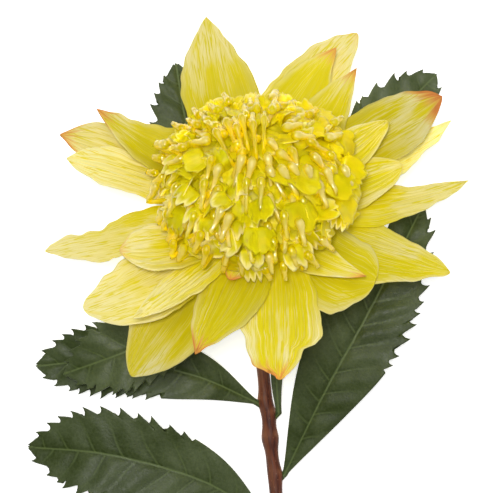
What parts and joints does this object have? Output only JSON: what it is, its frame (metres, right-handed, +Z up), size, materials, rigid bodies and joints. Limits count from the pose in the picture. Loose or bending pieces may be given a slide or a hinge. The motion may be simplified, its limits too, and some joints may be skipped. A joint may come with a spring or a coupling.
{
  "type": "waratah stem",
  "caption": "Cut waratah stem lying on its side: a domed yellow flower head of club-shaped styles in a ruff of pointed bracts, with serrated leaves on a woody stalk.",
  "frame": {"origin": "on the surface that the stem lies on, under the middle of the whole", "axes": "+Y along the stalk from its cut end to the flower head, +X across it, +Z up from the surface"},
  "size_m": [0.1946, 0.3966, 0.0877],
  "materials": {
    "stem_bark": "reddish brown woody skin, slightly rough",
    "floret_yellow": "glossy yellow bulbs on pale shafts, smooth living tissue",
    "bract_yellow": "lemon yellow satin petal tissue with fine veins",
    "leaf_green": "dark grey-green leathery leaf, satin"
  },
  "bodies": {
    "root": {"stem": "stem_bark", "floret_head": "floret_yellow", "bract_01": "bract_yellow", "bract_02": "bract_yellow", "bract_03": "bract_yellow", "bract_04": "bract_yellow", "bract_05": "bract_yellow", "bract_06": "bract_yellow", "bract_07": "bract_yellow", "bract_08": "bract_yellow", "bract_09": "bract_yellow", "bract_10": "bract_yellow", "bract_11": "bract_yellow", "bract_12": "bract_yellow", "bract_13": "bract_yellow", "bract_14": "bract_yellow", "bract_15": "bract_yellow", "bract_16": "bract_yellow", "bract_17": "bract_yellow", "bract_18": "bract_yellow", "bract_19": "bract_yellow", "bract_20": "bract_yellow", "bract_21": "bract_yellow", "bract_22": "bract_yellow", "bract_23": "bract_yellow", "leaf_01": "leaf_green", "leaf_02": "leaf_green", "leaf_03": "leaf_green", "leaf_04": "leaf_green", "leaf_05": "leaf_green", "leaf_06": "leaf_green", "leaf_07": "leaf_green"}
  },
  "joints": []
}
